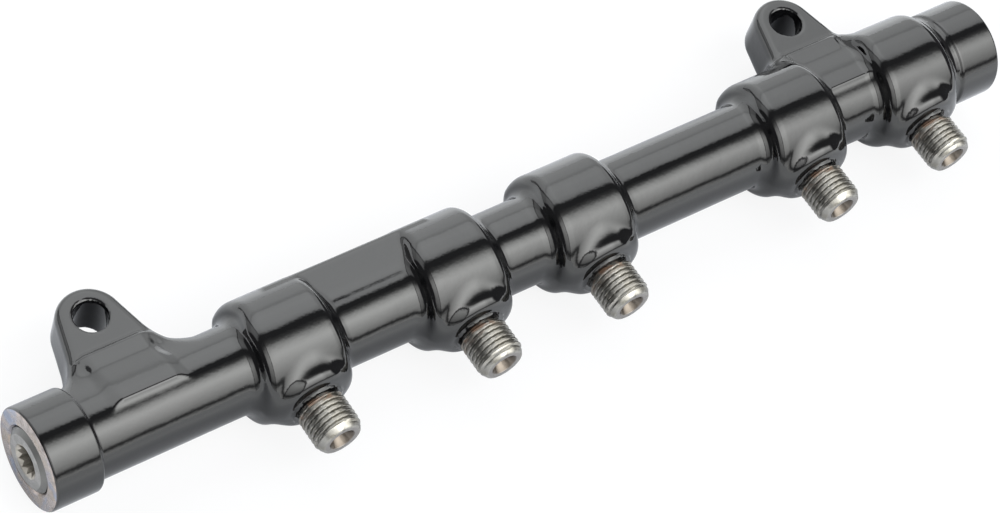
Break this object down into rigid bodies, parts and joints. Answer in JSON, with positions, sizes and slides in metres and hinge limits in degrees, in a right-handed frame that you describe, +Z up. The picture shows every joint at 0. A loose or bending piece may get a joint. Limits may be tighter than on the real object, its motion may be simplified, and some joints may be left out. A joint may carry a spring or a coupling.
{
  "type": "fuel rail",
  "caption": "Forged diesel fuel rail: a round bar with bosses, threaded pipe outlets in a row, two bolted lugs, a screwed end plug and a far-end sensor port.",
  "frame": {"origin": "midway between the two bolt holes, on the machined underside of the lugs", "axes": "+X along the rail from the end plug to the sensor port, +Y from the rail to the bolts, +Z up along the bolts"},
  "size_m": [0.2792, 0.0588, 0.0294],
  "materials": {
    "black_paint": "high gloss black paint over a steel forging",
    "bare_steel": "machined bare steel with faint heat tint and a little rust in the thread roots"
  },
  "bodies": {
    "root": {"rail_body": "black_paint", "end_plug": "bare_steel"}
  },
  "joints": []
}
